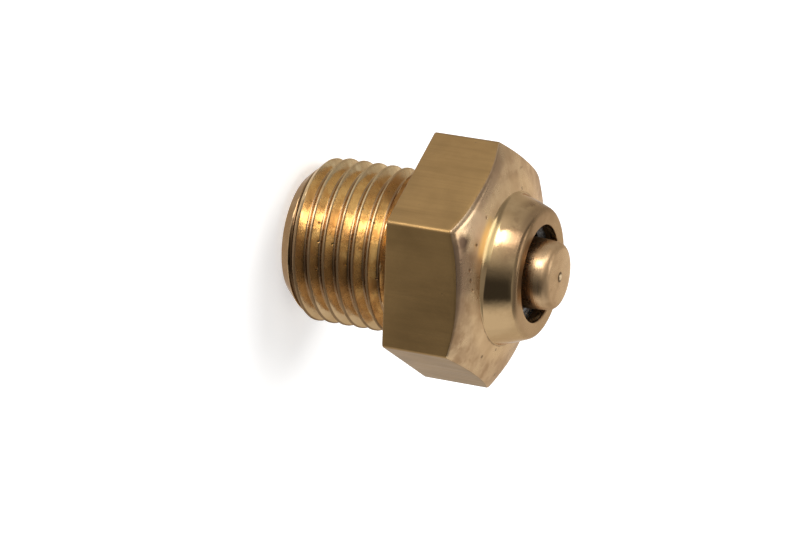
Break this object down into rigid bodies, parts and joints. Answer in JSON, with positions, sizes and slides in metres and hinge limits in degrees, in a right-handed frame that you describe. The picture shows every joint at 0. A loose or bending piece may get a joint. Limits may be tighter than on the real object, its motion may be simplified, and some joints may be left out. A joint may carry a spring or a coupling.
{
  "type": "pressure relief valve",
  "caption": "Spring-loaded brass pressure relief valve with a male thread, a hexagon, a closed outlet boss and a plunger pin standing out of it.",
  "frame": {"origin": "centre of the hexagon's thread-side face, which seats on the port, on the valve's axis", "axes": "+Z along the valve's axis, from the inlet in the threaded end to the outlet and the standing pin; +X towards one corner of the hexagon"},
  "size_m": [0.0242, 0.021, 0.026],
  "materials": {
    "brass_body": "turned and drawn brass, satin, slightly tarnished",
    "brass_plunger": "turned brass, satin with a polished side",
    "brass_small_parts": "turned brass",
    "seal_rubber": "moulded nitrile rubber, matt",
    "spring_steel": "drawn stainless spring wire"
  },
  "bodies": {
    "body": {"body": "brass_body", "retaining_washer": "spring_steel", "spring": "spring_steel"},
    "plunger": {"plunger": "brass_plunger", "seal_disc": "seal_rubber", "seal_washer": "brass_small_parts", "seal_screw": "brass_small_parts"}
  },
  "joints": [
    {"name": "plunger_lift", "type": "slide", "parent": "body", "child": "plunger", "axis": [0, 0, 1], "range_m": [0, 0.003], "stiffness_N_per_m": 1500, "springref_m": -0.0028, "deforming": ["spring"]}
  ]
}
